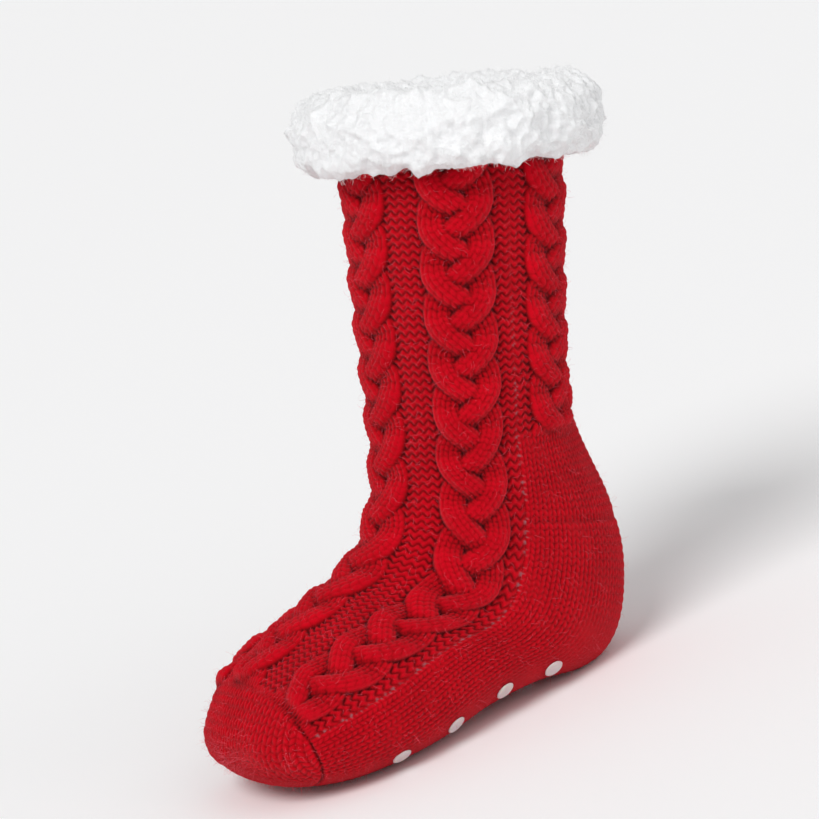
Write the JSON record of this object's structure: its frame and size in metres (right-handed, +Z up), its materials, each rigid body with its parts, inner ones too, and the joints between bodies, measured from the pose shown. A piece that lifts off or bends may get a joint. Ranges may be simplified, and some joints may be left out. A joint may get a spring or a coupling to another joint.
{
  "type": "slipper sock",
  "caption": "Cable-knit slipper sock with a turned-over fleece cuff and soft grip dots under the sole, hollow from collar to toe.",
  "frame": {"origin": "on the floor, under the middle of the whole sock's length and width", "axes": "+Z up the leg, toe towards -Y, +X across the foot"},
  "size_m": [0.1494, 0.278, 0.302],
  "materials": {
    "red_knit": "bulky acrylic knit, matt with a soft nap",
    "white_fleece": "deep curly fleece",
    "grip_silicone": "cloudy translucent silicone"
  },
  "bodies": {
    "root": {"knit_upper": "red_knit", "fleece_cuff": "white_fleece", "sole_grip_01": "grip_silicone", "sole_grip_02": "grip_silicone", "sole_grip_03": "grip_silicone", "sole_grip_04": "grip_silicone", "sole_grip_05": "grip_silicone", "sole_grip_06": "grip_silicone", "sole_grip_07": "grip_silicone", "sole_grip_08": "grip_silicone", "sole_grip_09": "grip_silicone", "sole_grip_10": "grip_silicone", "sole_grip_11": "grip_silicone", "sole_grip_12": "grip_silicone", "sole_grip_13": "grip_silicone", "sole_grip_14": "grip_silicone", "sole_grip_15": "grip_silicone", "sole_grip_16": "grip_silicone", "sole_grip_17": "grip_silicone", "sole_grip_18": "grip_silicone", "sole_grip_19": "grip_silicone", "sole_grip_20": "grip_silicone", "sole_grip_21": "grip_silicone", "sole_grip_22": "grip_silicone"}
  },
  "joints": []
}
